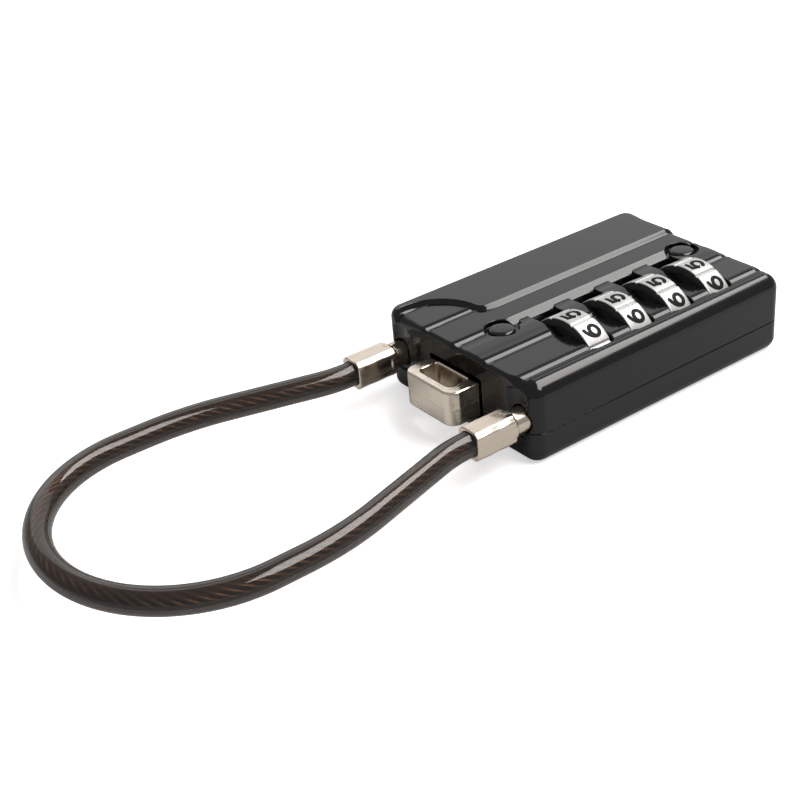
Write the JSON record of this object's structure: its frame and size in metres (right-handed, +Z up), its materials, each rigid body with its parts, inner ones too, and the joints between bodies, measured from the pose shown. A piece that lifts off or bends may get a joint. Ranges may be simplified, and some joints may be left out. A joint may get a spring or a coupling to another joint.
{
  "type": "combination cable lock",
  "caption": "Compact combination cable lock: flat ribbed metal case with number wheels, an anchor eye that works the release slider, and a loop of sheathed wire rope with a removable plug.",
  "frame": {"origin": "centre of the case's flat underside", "axes": "+Z up out of the ribbed top, -X towards the cable and the eye, -Y towards the number wheels"},
  "size_m": [0.1272, 0.048, 0.0159],
  "materials": {
    "black_case": "gloss black enamel on zinc die casting",
    "nickel_zinc": "warm nickel plate",
    "wheel_silver": "satin silver with black numbers",
    "hub_brass": "machined",
    "steel": "ground",
    "spring_steel": "oiled",
    "rope": "twisted wire",
    "sheath": "smoky translucent PVC"
  },
  "bodies": {
    "case": {"upper_case": "black_case", "lower_case": "black_case", "case_rivets": "black_case", "pawl_pin": "steel", "detent_spring": "spring_steel", "slider_spring": "spring_steel", "cable_anchor": "steel", "fixed_ferrule": "nickel_zinc", "wire_rope": "rope", "cable_jacket": "sheath"},
    "wheel_1": {"number_wheel_1": "wheel_silver", "wheel_hub_1": "hub_brass"},
    "wheel_2": {"number_wheel_2": "wheel_silver", "wheel_hub_2": "hub_brass"},
    "wheel_3": {"number_wheel_3": "wheel_silver", "wheel_hub_3": "hub_brass"},
    "wheel_4": {"number_wheel_4": "wheel_silver", "wheel_hub_4": "hub_brass"},
    "slider": {"release_slider": "nickel_zinc", "spindle": "steel", "spindle_clip": "spring_steel"},
    "pawl": {"locking_pawl": "steel"},
    "plug": {"locking_plug": "steel", "plug_ferrule": "nickel_zinc"}
  },
  "joints": [
    {"name": "wheel_1_turn", "type": "hinge", "parent": "case", "child": "wheel_1", "pos_m": [-0.01005, -0.0083, 0.0081], "axis": [1, 0, 0], "continuous": true, "deforming": ["detent_spring"]},
    {"name": "wheel_2_turn", "type": "hinge", "parent": "case", "child": "wheel_2", "pos_m": [-0.0012, -0.0083, 0.0081], "axis": [1, 0, 0], "continuous": true, "deforming": ["detent_spring"]},
    {"name": "wheel_3_turn", "type": "hinge", "parent": "case", "child": "wheel_3", "pos_m": [0.00765, -0.0083, 0.0081], "axis": [1, 0, 0], "continuous": true, "deforming": ["detent_spring"]},
    {"name": "wheel_4_turn", "type": "hinge", "parent": "case", "child": "wheel_4", "pos_m": [0.0165, -0.0083, 0.0081], "axis": [1, 0, 0], "continuous": true, "deforming": ["detent_spring"]},
    {"name": "slider_push", "type": "slide", "parent": "case", "child": "slider", "axis": [1, 0, 0], "range_m": [0, 0.003], "deforming": ["slider_spring"]},
    {"name": "pawl_swing", "type": "hinge", "parent": "case", "child": "pawl", "pos_m": [-0.0226, -0.0102, 0.0038], "axis": [0, 0, -1], "range_deg": [0, 12]},
    {"name": "plug_pull", "type": "slide", "parent": "case", "child": "plug", "axis": [-1, 0, 0], "range_m": [0, 0.0138], "deforming": ["cable_jacket", "wire_rope"]}
  ],
  "couplings": [
    {"joint": "pawl_swing", "follows": "slider_push", "rad_per_m": 69.81}
  ]
}
